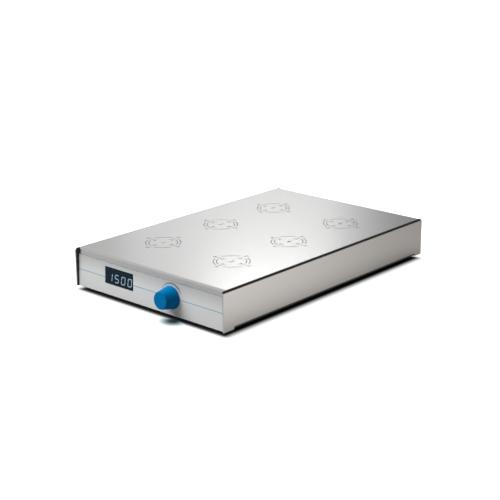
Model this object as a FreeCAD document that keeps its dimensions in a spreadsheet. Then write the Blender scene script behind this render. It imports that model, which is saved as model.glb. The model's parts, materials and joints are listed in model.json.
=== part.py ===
"""Six-position magnetic stirrer: a low steel case with a belt-driven magnet rotor under each station.

Millimetres. The origin is on the bench, under the middle of the case. X is right, Y is back, Z is up.
"""
import FreeCAD, Part
import math
import os
import re

import Sketcher

V = FreeCAD.Vector

# Driving sizes, each written once. Angles are in degrees.
SIZES = {
    # Case
    "body_width": 220,
    "body_depth": 340,
    "body_height": 43,
    "foot_height": 5,
    "sheet_thickness": 1.2,
    "bend_radius": 2.5,
    "front_recess": 2.2,
    "rear_recess": 2.2,
    "front_tilt": 2.4,
    "panel_thickness": 1.2,
    "panel_drop": 2.2,
    "gasket_thickness": 0.8,
    "gasket_width": 9,
    "gasket_setback": 0.6,
    "gasket_sink": 0.2,
    "notch_height": 3,
    "notch_front_margin": 15,
    "notch_rear_margin": 13,
    "tray_thickness": 1.5,
    "tray_lift": 0.5,
    "tray_wall_height": 14,
    "assembly_gap": 0.4,
    # Feet, screws and pillars
    "foot_inset_x": 22,
    "foot_inset_y": 24,
    "foot_top_radius": 9,
    "foot_sole_radius": 8,
    "foot_recess_radius": 4,
    "foot_recess_depth": 3,
    "screw_radius": 1.5,
    "screw_head_radius": 2.8,
    "screw_head_height": 1.9,
    "screw_grip": 8,
    "screw_gap": 0.1,
    "pillar_radius": 4.5,
    # Front label, display and speed control
    "label_thickness": 0.4,
    "label_margin": 0.5,
    "label_top_margin": 4.6,
    "window_x": -43.5,
    "window_rise": 0.3,
    "window_width": 43.7,
    "window_height": 18.9,
    "window_gap": 0.15,
    "window_sink": 0.1,
    "window_lip": 2.5,
    "window_lip_thickness": 1,
    "module_inset": 1.75,
    "module_depth": 7,
    "board_thickness": 1.6,
    "board_side_margin": 7.7,
    "board_end_margin": 3,
    "spacer_radius": 2.5,
    "spacer_inset": 4,
    "knob_x": 35,
    "knob_rise": -2.3,
    "knob_projection": 16.7,
    "knob_base_radius": 12.3,
    "knob_face_radius": 9.25,
    "knob_edge_radius": 0.9,
    "knob_gap": 0.6,
    "knob_skirt": 3.3,
    "knob_hollow_depth": 3.6,
    "shaft_radius": 3,
    "shaft_end_margin": 3.5,
    "running_gap": 0.05,
    "bushing_radius": 4.5,
    "bushing_length": 3.4,
    "nut_radius": 6.9,
    "nut_thickness": 2,
    "control_radius": 11,
    "control_depth": 9,
    # Power inlet and switch, placed as seen from behind
    "rear_rise": -1.5,
    "inlet_side_margin": 55,
    "inlet_flange_width": 50,
    "inlet_flange_height": 22.6,
    "inlet_flange_corner": 4,
    "inlet_flange_thickness": 2.1,
    "inlet_wall": 1.6,
    "inlet_body_depth": 19,
    "inlet_mouth_width": 24.2,
    "inlet_mouth_height": 16.4,
    "inlet_mouth_chamfer": 5,
    "inlet_mouth_depth": 15,
    "inlet_screw_pitch": 40,
    "inlet_screw_head_height": 1.3,
    "pin_width": 2,
    "pin_height": 4,
    "pin_pitch": 14,
    "pin_drop": 2,
    "pin_tail": 6,
    "switch_x": 12,
    "bezel_lip": 1,
    "bezel_thickness": 1.4,
    "switch_wall": 1.2,
    "switch_body_depth": 14,
    "rocker_width": 10,
    "rocker_height": 15.2,
    "rocker_rise": 1.2,
    "rocker_dip": 0.2,
    "rocker_back": 5,
    "rocker_throw": 9,
    "rocker_gap": 0.35,
    "pivot_radius": 1.2,
    "pivot_length": 0.9,
    "pivot_depth": 0.4,
    # Stations, rotors and belts
    "station_margin_x": 59,
    "station_margin_y": 77.6,
    "station_offset": -1.5,
    "rotor_radius": 18,
    "rotor_lift": 1.3,
    "rotor_flange": 0.5,
    "rotor_clearance": 2.3,
    "belt_width": 2,
    "belt_thickness": 1.2,
    "belt_sink": 0.4,
    "belt_gap": 0.3,
    "belt_pitch": 3.6,
    "bush_radius": 4.5,
    "axle_radius": 2.5,
    "axle_flange_radius": 4.4,
    "axle_flange_thickness": 1,
    "axle_proud": 0.4,
    "clip_radius": 4.6,
    "clip_thickness": 0.8,
    "clip_gap": 0.2,
    "magnet_radius": 5,
    "magnet_thickness": 3.4,
    "magnet_rim": 1.4,
    "magnet_floor": 1,
    # Bearing plate and motor
    "plate_thickness": 2.5,
    "plate_side_margin": 24,
    "plate_end_margin": 25.6,
    "plate_corner": 6,
    "standoff_inset": 8,
    "standoff_radius": 4.4,
    "motor_radius": 20,
    "motor_floor_gap": 2,
    "motor_end_wall": 4,
    "motor_step": 3,
    "motor_boss_radius": 7,
    "motor_pulley_radius": 12,
    "motor_screw_gap": 0.7,
    "motor_screw_head_height": 1.5,
    "motor_shaft_radius": 2.5,
    # Power board and wiring
    "power_board_side_gap": 4.5,
    "power_board_rear_gap": 9.6,
    "power_board_depth": 38,
    "power_board_lift": 4,
    "transformer_margin": 5,
    "transformer_width": 30,
    "transformer_depth": 27,
    "transformer_height": 24,
    "capacitor_radius": 8,
    "capacitor_height": 22,
    "lead_radius": 1.2,
    "lead_bend": 4,
    "lead_rise": 1.4,
    "lead_end_gap": 0.3,
    "lead_row": 5,
    "lead_aisle_x": -30,
}

# Levels and edges worked out from the driving sizes.
TOP = "(foot_height + body_height)"
UNDERSIDE = "(foot_height + body_height - sheet_thickness)"
TILT = "(front_tilt * 1 deg)"
COVER_HALF = "(body_width / 2 - panel_thickness - gasket_thickness)"
COVER_FRONT = "(front_recess - body_depth / 2)"
COVER_REAR = "(body_depth / 2 - rear_recess)"
TRAY_LEVEL = "(foot_height + tray_lift)"
FLOOR = "(foot_height + tray_lift + tray_thickness)"
HOLE = "(screw_radius + screw_gap)"
FOOT_X = "(body_width / 2 - foot_inset_x)"
FOOT_Y = "(body_depth / 2 - foot_inset_y)"

WINDOW_LEVEL = "(body_height / 2 + window_rise)"
DISPLAY_BACK = "(sheet_thickness + window_lip_thickness + module_depth)"
DISPLAY_BOARD_WIDTH = "(window_width + 2 * (window_lip + board_side_margin))"
DISPLAY_BOARD_HEIGHT = "(window_height + 2 * (window_lip + board_end_margin))"
KNOB_LEVEL = "(body_height / 2 + knob_rise)"
KNOB_FOOT = "(label_thickness + knob_gap)"

REAR_LEVEL = "(body_height / 2 + rear_rise)"
INLET_X = "(body_width / 2 - inlet_side_margin)"
INLET_BODY_WIDTH = "(inlet_mouth_width + 2 * inlet_wall)"
INLET_BODY_HEIGHT = "(inlet_mouth_height + 2 * inlet_wall)"
WELL_WIDTH = "(rocker_width + 2 * rocker_gap)"
WELL_HEIGHT = "(rocker_height + 4 * rocker_gap)"
SWITCH_WIDTH = f"({WELL_WIDTH} + 2 * switch_wall)"
SWITCH_HEIGHT = f"({WELL_HEIGHT} + 2 * switch_wall)"

STATION_X = "(body_width / 2 - station_margin_x)"
STATION_STEP = "(body_depth / 2 - station_margin_y)"
PLATE_WIDTH = f"(2 * ({STATION_X} + plate_side_margin))"
PLATE_DEPTH = f"(2 * ({STATION_STEP} + plate_end_margin))"
BELT_BASE = "(rotor_lift + rotor_flange + belt_gap + belt_width / 2)"
DRUM_TOP = f"({BELT_BASE} + 2 * belt_pitch + belt_width / 2 + belt_gap)"
ROTOR_TOP = f"({DRUM_TOP} + magnet_floor + magnet_thickness)"
ROTOR_RUN = "(rotor_radius - belt_sink - belt_thickness / 2)"
MOTOR_RUN = "(motor_pulley_radius - belt_sink - belt_thickness / 2)"
PULLEY_TOP = f"({BELT_BASE} + belt_pitch + belt_width / 2 + belt_gap + rotor_flange)"
MAGNET_X = "(rotor_radius - magnet_rim - magnet_radius)"
PLATE_TOP = f"({UNDERSIDE} - rotor_clearance - {ROTOR_TOP})"
PLATE_LEVEL = f"({PLATE_TOP} - plate_thickness)"
MOTOR_LENGTH = f"({PLATE_LEVEL} - {FLOOR} - motor_floor_gap)"
SHAFT_DEPTH = f"(plate_thickness + {MOTOR_LENGTH} - motor_end_wall)"

BOARD_RIGHT = f"({FOOT_X} - pillar_radius - power_board_side_gap)"
BOARD_REAR = f"({COVER_REAR} - sheet_thickness - power_board_rear_gap)"
BOARD_Y = f"({BOARD_REAR} - power_board_depth / 2)"
BOARD_TOP = f"({FLOOR} + power_board_lift + board_thickness)"
LEAD_LEVEL = f"({BOARD_TOP} + lead_bend + lead_rise)"

STATIONS = {
    "front_left": (-1, -1),
    "middle_left": (-1, 0),
    "back_left": (-1, 1),
    "front_right": (1, -1),
    "middle_right": (1, 0),
    "back_right": (1, 1),
}

doc = FreeCAD.newDocument("stirrer")
sheet = doc.addObject("Spreadsheet::Sheet", "dims")
for row, (alias, number) in enumerate(SIZES.items(), start=1):
    sheet.set(f"A{row}", alias)
    sheet.set(f"B{row}", str(number))
    sheet.setAlias(f"B{row}", alias)
doc.recompute()

nodes = []


def tied(text):
    """The expression with each size name pointing at its cell."""
    return re.sub(r"[a-z][a-z_]*", lambda m: f"dims.{m[0]}" if m[0] in SIZES else m[0], text)


def size(text):
    """The present value of an expression."""
    return float(sheet.evalExpression(tied(text)))


def at(x, y, z):
    """A place with no turn."""
    return x, y, z, (0, 0, 1), "0"


def on_front(x="0", up="0"):
    """A place on the front sheet: X to the right, Y up the sheet, Z straight out of it."""
    y = f"{COVER_FRONT} + ({up}) * sin({TILT})"
    return x, y, f"foot_height + ({up}) * cos({TILT})", (1, 0, 0), "90 - front_tilt"


def behind_front(x, up, depth):
    """A place straight behind one on the front sheet."""
    x, y, z, axis, angle = on_front(x, up)
    return x, f"{y} + {depth} * cos({TILT})", f"{z} - {depth} * sin({TILT})", axis, angle


def on_rear(x="0", up="0"):
    """A place on the rear sheet, seen from behind: X to the right, Y up, Z straight out of it."""
    return f"-({x})", COVER_REAR, f"foot_height + {up}", (0, 1, 1), "180"


def station(name, z):
    """A place on a station's axis."""
    side, row_number = STATIONS[name]
    return at(f"{side} * {STATION_X}", f"station_offset + {row_number} * {STATION_STEP}", z)


def locate(item, prop, frame):
    """Ties an object's place to the sheet."""
    x, y, z, axis, angle = frame
    setattr(item, prop, FreeCAD.Placement(V(), FreeCAD.Rotation(V(*axis), size(angle))))
    item.setExpression(f"{prop}.Base.x", tied(x))
    item.setExpression(f"{prop}.Base.y", tied(y))
    item.setExpression(f"{prop}.Base.z", tied(z))
    if size(angle):
        item.setExpression(f"{prop}.Rotation.Angle", tied(f"({angle}) * 1 deg"))


def new_body(label, frame=None):
    """An empty body, at its place."""
    body = doc.addObject("PartDesign::Body", label)
    if frame:
        locate(body, "Placement", frame)
    return body


def new_sketch(body, plane="XY_Plane", frame=None):
    """An empty sketch on one of the body's own planes."""
    item = body.newObject("Sketcher::SketchObject", "Sketch")
    support = next(f for f in body.Origin.OriginFeatures if f.Role == plane)
    item.AttachmentSupport = [(support, "")]
    item.MapMode = "FlatFace"
    if frame:
        locate(item, "AttachmentOffset", frame)
    return item


def tie_point(item, geometry, point, x, y):
    """Ties one point of the sketch to the sheet, measured from the sketch's origin."""
    for kind, text in (("DistanceX", x), ("DistanceY", y)):
        index = item.addConstraint(Sketcher.Constraint(kind, -1, 1, geometry, point, size(text)))
        item.setExpression(f"Constraints[{index}]", tied(text))


def outline(item, points):
    """A closed outline of straight runs through the given corners."""
    corners = [V(size(x), size(y), 0) for x, y in points]
    first = item.GeometryCount
    count = len(corners)
    for k in range(count):
        item.addGeometry(Part.LineSegment(corners[k], corners[(k + 1) % count]), False)
    for k, (x, y) in enumerate(points):
        item.addConstraint(Sketcher.Constraint("Coincident", first + k, 2, first + (k + 1) % count, 1))
        tie_point(item, first + k, 1, x, y)


def rectangle(item, x, y, width, height):
    """A rectangle about its middle."""
    signs = ((-1, -1), (1, -1), (1, 1), (-1, 1))
    outline(item, [(f"({x}) + {a} * ({width}) / 2", f"({y}) + {b} * ({height}) / 2") for a, b in signs])


def circle(item, x, y, radius):
    """A circle about a tied centre."""
    k = item.addGeometry(Part.Circle(V(size(x), size(y), 0), V(0, 0, 1), size(radius)), False)
    tie_point(item, k, 3, x, y)
    index = item.addConstraint(Sketcher.Constraint("Radius", k, size(radius)))
    item.setExpression(f"Constraints[{index}]", tied(radius))


def add_feature(body, kind, item, length, reverse=False, both=False):
    """A pad along the sketch's normal, or a pocket against it."""
    feature = body.newObject(f"PartDesign::{kind}", kind)
    feature.Profile = item
    feature.setExpression("Length", tied(length))
    feature.Reversed = reverse
    if both:
        feature.SideType = "Symmetric"
    doc.recompute()
    return feature


def round_edges(body, radius, wanted):
    """Rounds the edges of the body so far for which wanted(edge) is true."""
    base = body.Tip
    names = [f"Edge{k}" for k, edge in enumerate(base.Shape.Edges, start=1) if wanted(edge)]
    feature = body.newObject("PartDesign::Fillet", "Fillet")
    feature.Base = (base, names)
    feature.setExpression("Radius", tied(radius))
    doc.recompute()


def along(edge, axis, *points):
    """Whether a straight edge along an axis passes a point, given by the other two coordinates."""
    start, end = (vertex.Point for vertex in (edge.Vertexes[0], edge.Vertexes[-1]))
    if (end - start).Length < 1e-6 or abs((end - start).normalize()[axis]) < 1 - 1e-6:
        return False
    others = [k for k in range(3) if k != axis]
    return any(all(abs(start[k] - value) < 1e-4 for k, value in zip(others, point)) for point in points)


def round_corners(body, width, height, radius):
    """Rounds the four upright corners of a rectangle about the body's middle."""
    x, y = size(f"({width}) / 2"), size(f"({height}) / 2")
    corners = [(a * x, b * y) for a in (-1, 1) for b in (-1, 1)]
    round_edges(body, radius, lambda edge: along(edge, 2, *corners))


def hexagon(item, radius):
    """A hexagon about the sketch's origin, by its corner radius."""
    outline(item, [(f"{radius} * cos({60 * k} deg)", f"{radius} * sin({60 * k} deg)") for k in range(6)])


def hexagon_post(label, radius, height, frame):
    """A plain hexagon post on its place."""
    body = new_body(label, frame)
    item = new_sketch(body)
    hexagon(item, radius)
    add_feature(body, "Pad", item, height)
    return body


def turned(label, profile, frame):
    """A piece turned about Z from a half profile of radius and height pairs."""
    body = new_body(label, frame)
    item = new_sketch(body, "XZ_Plane")
    outline(item, profile)
    feature = body.newObject("PartDesign::Revolution", "Revolution")
    feature.Profile = item
    feature.ReferenceAxis = (item, ["V_Axis"])
    feature.Angle = 360
    doc.recompute()
    return body


def ring(inner, outer, low, high):
    """A plain half profile between two radii and two heights."""
    return [(inner, low), (outer, low), (outer, high), (inner, high)]


def block(label, width, height, depth, frame, reverse=False):
    """A rectangular piece about its place, deep along Z."""
    body = new_body(label, frame)
    item = new_sketch(body)
    rectangle(item, "0", "0", width, height)
    add_feature(body, "Pad", item, depth, reverse=reverse)
    return body


def keep(item):
    """Lists a finished piece."""
    nodes.append(item)
    return item


def keep_group(label, members):
    """Lists several like solids as one piece."""
    item = doc.addObject("Part::Compound", label)
    item.Links = members
    keep(item)


def screw_profile(head_height, grip):
    """A pan head below Z = 0 and a shank above it."""
    head = f"-({head_height})"
    return [("0", head), ("screw_head_radius", head), ("screw_head_radius", "0"), ("screw_radius", "0"),
            ("screw_radius", grip), ("0", grip)]


def corner_places(x, y, z):
    """Four places, mirrored left to right and front to back."""
    return [at(f"{a} * ({x})", f"{b} * ({y})", z) for a in (-1, 1) for b in (-1, 1)]


def make_cover():
    """One sheet bent over the front and rear, cut for the display, the control, the inlet and the switch."""
    body = new_body("cover")
    lean = f"tan({TILT})"
    inner_front = f"{COVER_FRONT} + sheet_thickness / cos({TILT})"
    inner_rear = f"{COVER_REAR} - sheet_thickness"
    corners = [
        (COVER_FRONT, "foot_height"),
        (f"{COVER_FRONT} + body_height * {lean}", TOP),
        (COVER_REAR, TOP),
        (COVER_REAR, "foot_height"),
        (inner_rear, "foot_height"),
        (inner_rear, UNDERSIDE),
        (f"{inner_front} + (body_height - sheet_thickness) * {lean}", UNDERSIDE),
        (inner_front, "foot_height"),
    ]
    item = new_sketch(body, "YZ_Plane")
    outline(item, corners)
    add_feature(body, "Pad", item, f"2 * {COVER_HALF}", both=True)
    points = [(size(y), size(z)) for y, z in corners]
    round_edges(body, "bend_radius", lambda edge: along(edge, 0, points[1], points[2]))
    round_edges(body, "bend_radius - sheet_thickness", lambda edge: along(edge, 0, points[5], points[6]))
    front = new_sketch(body, frame=on_front())
    cut_front(front)
    add_feature(body, "Pocket", front, "2 * sheet_thickness")
    rear = new_sketch(body, frame=on_rear(up=REAR_LEVEL))
    openings = [(INLET_X, INLET_BODY_WIDTH, INLET_BODY_HEIGHT), ("switch_x", SWITCH_WIDTH, SWITCH_HEIGHT)]
    for x, width, height in openings:
        rectangle(rear, x, "0", f"{width} + 2 * window_gap", f"{height} + 2 * window_gap")
    for side in (-1, 1):
        circle(rear, f"{INLET_X} + {side} * inlet_screw_pitch / 2", "0", HOLE)
    add_feature(body, "Pocket", rear, "2 * sheet_thickness")
    keep(body)


def cut_front(item):
    """The openings for the display window and the control's bushing, through front sheet and label."""
    rectangle(item, "window_x", WINDOW_LEVEL, "window_width", "window_height")
    circle(item, "knob_x", KNOB_LEVEL, "bushing_radius + window_gap")


def make_side(name, side):
    """A flat side panel with a long notch in its lower edge, and the gasket between it and the cover."""
    half = "body_depth / 2"
    low = "foot_height"
    notch = "foot_height + notch_height"
    high = f"{TOP} - panel_drop"
    start = f"notch_front_margin - {half}"
    end = f"{half} - notch_rear_margin"
    panel = new_body(f"side_panel_{name}")
    place = f"{side} * (body_width / 2) - ({(1 + side) // 2}) * panel_thickness"
    item = new_sketch(panel, "YZ_Plane", at("0", "0", place))
    outline(item, [(f"-{half}", low), (start, low), (start, notch), (end, notch), (end, low), (half, low),
                   (half, high), (f"-{half}", high)])
    add_feature(panel, "Pad", item, "panel_thickness")
    keep(panel)
    gasket = new_body(f"side_gasket_{name}")
    place = f"{side} * {COVER_HALF} - ({(1 - side) // 2}) * gasket_thickness"
    item = new_sketch(gasket, "YZ_Plane", at("0", "0", place))
    outer = f"({half} - gasket_setback)"
    inner = f"({half} - gasket_setback - gasket_width)"
    top = f"{TOP} - gasket_sink"
    under = f"{top} - gasket_width"
    outline(item, [(f"-{outer}", low), (f"-{inner}", low), (f"-{inner}", under), (inner, under), (inner, low),
                   (outer, low), (outer, top), (f"-{outer}", top)])
    add_feature(gasket, "Pad", item, "gasket_thickness")
    keep(gasket)


def make_tray():
    """The floor, between the cover's front and rear, with two walls that carry the side panels."""
    body = new_body("base_tray", at("0", "0", TRAY_LEVEL))
    lean = f"(tray_lift + tray_thickness) * tan({TILT})"
    front = f"({COVER_FRONT} + sheet_thickness / cos({TILT}) + {lean} + assembly_gap)"
    rear = f"({COVER_REAR} - sheet_thickness - assembly_gap)"
    half = f"({COVER_HALF} - assembly_gap)"
    item = new_sketch(body)
    outline(item, [(f"-{half}", front), (half, front), (half, rear), (f"-{half}", rear)])
    add_feature(body, "Pad", item, "tray_thickness")
    walls = new_sketch(body)
    length = "body_depth - 2 * (gasket_setback + gasket_width + assembly_gap)"
    for side in (-1, 1):
        middle = f"{side} * (body_width / 2 - panel_thickness - tray_thickness / 2)"
        rectangle(walls, middle, "0", "tray_thickness", length)
    add_feature(body, "Pad", walls, "tray_wall_height")
    holes = new_sketch(body)
    for x, y, *_ in corner_places(FOOT_X, FOOT_Y, "0"):
        circle(holes, x, y, HOLE)
    add_feature(body, "Pocket", holes, "tray_thickness", reverse=True)
    keep(body)


def make_feet():
    """Rubber feet, whose screws pass through the tray into the hexagon pillars that hold the cover down."""
    foot = [
        (HOLE, "foot_recess_depth"), ("foot_recess_radius", "foot_recess_depth"),
        ("foot_recess_radius", "0"), ("foot_sole_radius", "0"),
        ("foot_top_radius", TRAY_LEVEL), (HOLE, TRAY_LEVEL),
    ]
    keep_group("feet", [turned("foot", foot, place) for place in corner_places(FOOT_X, FOOT_Y, "0")])
    screw = screw_profile("screw_head_height", f"{FLOOR} - foot_recess_depth + screw_grip")
    places = corner_places(FOOT_X, FOOT_Y, "foot_recess_depth")
    keep_group("foot_screws", [turned("foot_screw", screw, place) for place in places])
    pillars = []
    for place in corner_places(FOOT_X, FOOT_Y, FLOOR):
        pillar = hexagon_post("cover_pillar", "pillar_radius", f"{UNDERSIDE} - {FLOOR}", place)
        bore = new_sketch(pillar)
        circle(bore, "0", "0", HOLE)
        add_feature(pillar, "Pocket", bore, "screw_grip + 2 * screw_radius", reverse=True)
        pillars.append(pillar)
    keep_group("cover_pillars", pillars)


def make_display():
    """The printed label, and the display behind its window: a lipped pane, a digit module and its board."""
    label = new_body("front_label", on_front())
    item = new_sketch(label)
    height = "(body_height - bend_radius - label_top_margin - label_margin)"
    rectangle(item, "0", f"label_margin + {height} / 2", f"2 * ({COVER_HALF} - label_margin)", height)
    cut_front(item)
    add_feature(label, "Pad", item, "label_thickness")
    keep(label)

    window = new_body("display_window", on_front("window_x", WINDOW_LEVEL))
    pane = new_sketch(window, frame=at("0", "0", "-sheet_thickness"))
    rectangle(pane, "0", "0", "window_width - 2 * window_gap", "window_height - 2 * window_gap")
    add_feature(window, "Pad", pane, "sheet_thickness + label_thickness - window_sink")
    lip = new_sketch(window, frame=at("0", "0", "-sheet_thickness"))
    rectangle(lip, "0", "0", "window_width + 2 * window_lip", "window_height + 2 * window_lip")
    add_feature(window, "Pad", lip, "window_lip_thickness", reverse=True)
    keep(window)

    place = behind_front("window_x", WINDOW_LEVEL, "(sheet_thickness + window_lip_thickness)")
    keep(block("display_module", "window_width - 2 * module_inset", "window_height - 2 * module_inset",
               "module_depth", place, reverse=True))
    place = behind_front("window_x", WINDOW_LEVEL, DISPLAY_BACK)
    keep(block("display_board", DISPLAY_BOARD_WIDTH, DISPLAY_BOARD_HEIGHT, "board_thickness", place,
               reverse=True))


def make_control():
    """The speed control: a potentiometer held by a nut on the label, its shaft, and the tapered knob.

    The knob is hollow under its skirt, to clear the nut.
    """
    place = on_front("knob_x", KNOB_LEVEL)
    back = "-(sheet_thickness + control_depth)"
    bore = "shaft_radius + running_gap"
    control = [
        (bore, "bushing_length"), ("bushing_radius", "bushing_length"),
        ("bushing_radius", "-sheet_thickness"), ("control_radius", "-sheet_thickness"),
        ("control_radius", back), ("0", back), ("0", "-control_depth"), (bore, "-control_depth"),
    ]
    keep(turned("speed_potentiometer", control, place))
    nut = new_body("potentiometer_nut", place)
    item = new_sketch(nut, frame=at("0", "0", "label_thickness"))
    hexagon(item, "nut_radius")
    circle(item, "0", "0", "bushing_radius + screw_gap")
    add_feature(nut, "Pad", item, "nut_thickness")
    keep(nut)

    shaft_end = "(knob_projection - shaft_end_margin)"
    shaft = ring("0", "shaft_radius", "running_gap - control_depth", shaft_end)
    keep(turned("potentiometer_shaft", shaft, place))
    hollow = f"({KNOB_FOOT} + knob_hollow_depth)"
    hollow_radius = "(knob_base_radius - knob_skirt)"
    profile = [
        (hollow_radius, KNOB_FOOT), ("knob_base_radius", KNOB_FOOT), ("knob_face_radius", "knob_projection"),
        ("0", "knob_projection"), ("0", shaft_end), ("shaft_radius", shaft_end), ("shaft_radius", hollow),
        (hollow_radius, hollow),
    ]
    knob = turned("speed_knob", profile, place)
    rim = size("knob_face_radius")
    face = size("knob_projection")

    def is_face_edge(edge):
        round_edge = isinstance(edge.Curve, Part.Circle) and abs(edge.Curve.Radius - rim) < 1e-4
        return round_edge and abs(edge.Curve.Center.z - face) < 1e-4

    round_edges(knob, "knob_edge_radius", is_face_edge)
    keep(knob)


def make_inlet():
    """A screwed three-pin appliance inlet in the rear sheet."""
    inlet = new_body("power_inlet", on_rear(INLET_X, REAR_LEVEL))
    flange = new_sketch(inlet)
    rectangle(flange, "0", "0", "inlet_flange_width", "inlet_flange_height")
    add_feature(inlet, "Pad", flange, "inlet_flange_thickness")
    round_corners(inlet, "inlet_flange_width", "inlet_flange_height", "inlet_flange_corner")
    shell = new_sketch(inlet)
    rectangle(shell, "0", "0", INLET_BODY_WIDTH, INLET_BODY_HEIGHT)
    add_feature(inlet, "Pad", shell, "inlet_body_depth", reverse=True)
    half = "(inlet_mouth_width / 2)"
    top = "(inlet_mouth_height / 2)"
    mouth = new_sketch(inlet, frame=at("0", "0", "inlet_flange_thickness"))
    outline(mouth, [(f"-{half}", f"-{top}"), (half, f"-{top}"), (half, f"{top} - inlet_mouth_chamfer"),
                    (f"{half} - inlet_mouth_chamfer", top), (f"inlet_mouth_chamfer - {half}", top),
                    (f"-{half}", f"{top} - inlet_mouth_chamfer")])
    add_feature(inlet, "Pocket", mouth, "inlet_mouth_depth")
    pins = [("-pin_pitch / 2", "-pin_drop"), ("pin_pitch / 2", "-pin_drop"), ("0", "pin_drop")]
    slots = new_sketch(inlet, frame=at("0", "0", "-inlet_body_depth"))
    for pin_x, pin_y in pins:
        rectangle(slots, pin_x, pin_y, "pin_width + 2 * running_gap", "pin_height + 2 * running_gap")
    add_feature(inlet, "Pocket", slots, "inlet_body_depth", reverse=True)
    holes = new_sketch(inlet)
    seats = new_sketch(inlet, frame=at("0", "0", "inlet_flange_thickness"))
    for side in (-1, 1):
        circle(holes, f"{side} * inlet_screw_pitch / 2", "0", HOLE)
        circle(seats, f"{side} * inlet_screw_pitch / 2", "0", "screw_head_radius + screw_gap")
    add_feature(inlet, "Pocket", holes, "inlet_flange_thickness", reverse=True)
    add_feature(inlet, "Pocket", seats, "inlet_screw_head_height")
    keep(inlet)

    members = []
    length = "inlet_body_depth + pin_tail + inlet_flange_thickness - pin_width"
    for pin_x, pin_y in pins:
        x, _, *rest = on_rear(f"{INLET_X} + ({pin_x})", f"{REAR_LEVEL} + ({pin_y})")
        place = (x, f"{COVER_REAR} - inlet_body_depth - pin_tail", *rest)
        members.append(block("inlet_pin", "pin_width", "pin_height", length, place))
    keep_group("inlet_pins", members)

    screw = screw_profile("inlet_screw_head_height", "screw_grip")
    members = []
    for side in (-1, 1):
        x, y, z, *_ = on_rear(f"{INLET_X} + {side} * inlet_screw_pitch / 2", REAR_LEVEL)
        seat = f"{y} + inlet_flange_thickness - inlet_screw_head_height"
        members.append(turned("inlet_screw", screw, (x, seat, z, (1, 0, 0), "90")))
    keep_group("inlet_screws", members)


def make_switch():
    """The power switch: a bezel and body in the rear sheet, and a rocker on two side pivots."""
    place = on_rear("switch_x", REAR_LEVEL)
    housing = new_body("switch_housing", place)
    bezel = new_sketch(housing)
    rectangle(bezel, "0", "0", f"{SWITCH_WIDTH} + 2 * bezel_lip", f"{SWITCH_HEIGHT} + 2 * bezel_lip")
    add_feature(housing, "Pad", bezel, "bezel_thickness")
    shell = new_sketch(housing)
    rectangle(shell, "0", "0", SWITCH_WIDTH, SWITCH_HEIGHT)
    add_feature(housing, "Pad", shell, "switch_body_depth", reverse=True)
    well = new_sketch(housing, frame=at("0", "0", "bezel_thickness"))
    rectangle(well, "0", "0", WELL_WIDTH, WELL_HEIGHT)
    add_feature(housing, "Pocket", well, "bezel_thickness + pivot_depth + rocker_back + 4 * rocker_gap")
    pivots = new_sketch(housing, "YZ_Plane")
    circle(pivots, "0", "-pivot_depth", "pivot_radius + running_gap")
    add_feature(housing, "Pocket", pivots, f"{WELL_WIDTH} + 2 * pivot_length", both=True)
    keep(housing)

    x, y, *rest = place
    rocker = new_body("switch_rocker", (x, f"{y} - pivot_depth", *rest))
    half = "(rocker_height / 2)"
    face = new_sketch(rocker, "YZ_Plane", ("0", "0", "0", (0, 0, 1), "rocker_throw"))
    outline(face, [(f"-{half}", "rocker_rise"), ("0", "rocker_dip"), (half, "rocker_rise"),
                   (f"{half} - rocker_rise", "-rocker_rise"), ("0", "-rocker_back"),
                   (f"rocker_rise - {half}", "-rocker_rise")])
    add_feature(rocker, "Pad", face, "rocker_width", both=True)
    pin = new_sketch(rocker, "YZ_Plane")
    circle(pin, "0", "0", "pivot_radius")
    add_feature(rocker, "Pad", pin, "rocker_width + 2 * pivot_length", both=True)
    keep(rocker)


def make_plate():
    """The plate that carries the motor and the six axles, on hexagon standoffs from the tray."""
    plate = new_body("bearing_plate", at("0", "station_offset", PLATE_LEVEL))
    item = new_sketch(plate)
    rectangle(item, "0", "0", PLATE_WIDTH, PLATE_DEPTH)
    add_feature(plate, "Pad", item, "plate_thickness")
    round_corners(plate, PLATE_WIDTH, PLATE_DEPTH, "plate_corner")
    standoff_x = f"{PLATE_WIDTH} / 2 - standoff_inset"
    standoff_y = f"{PLATE_DEPTH} / 2 - standoff_inset"
    places = corner_places(standoff_x, standoff_y, FLOOR)
    holes = new_sketch(plate)
    circle(holes, "0", "0", "motor_boss_radius + window_gap")
    for x, y, *_ in places:
        circle(holes, x, y, HOLE)
    for x, y in motor_screw_places():
        circle(holes, x, y, HOLE)
    for side, row_number in STATIONS.values():
        circle(holes, f"{side} * {STATION_X}", f"{row_number} * {STATION_STEP}", "axle_radius + screw_gap")
    add_feature(plate, "Pocket", holes, "plate_thickness", reverse=True)
    keep(plate)

    posts = []
    screws = []
    screw = screw_profile("screw_head_height", "screw_grip")
    for x, y, z, *_ in places:
        place = at(x, f"station_offset + {y}", z)
        post = hexagon_post("plate_standoff", "standoff_radius", f"{PLATE_LEVEL} - {FLOOR}", place)
        bore = new_sketch(post)
        circle(bore, "0", "0", HOLE)
        add_feature(post, "Pocket", bore, f"{PLATE_LEVEL} - {FLOOR}", reverse=True)
        posts.append(post)
        place = (x, f"station_offset + {y}", PLATE_TOP, (1, 0, 0), "180")
        screws.append(turned("plate_screw", screw, place))
    keep_group("plate_standoffs", posts)
    keep_group("plate_screws", screws)


def motor_screw_places():
    """Four screws on a circle about the motor, just outside its pulley and clear of the belts."""
    reach = "(motor_pulley_radius + screw_head_radius + motor_screw_gap)"
    return [(f"{reach} * cos({angle} deg)", f"{reach} * sin({angle} deg)") for angle in (60, 120, 240, 300)]


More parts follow.
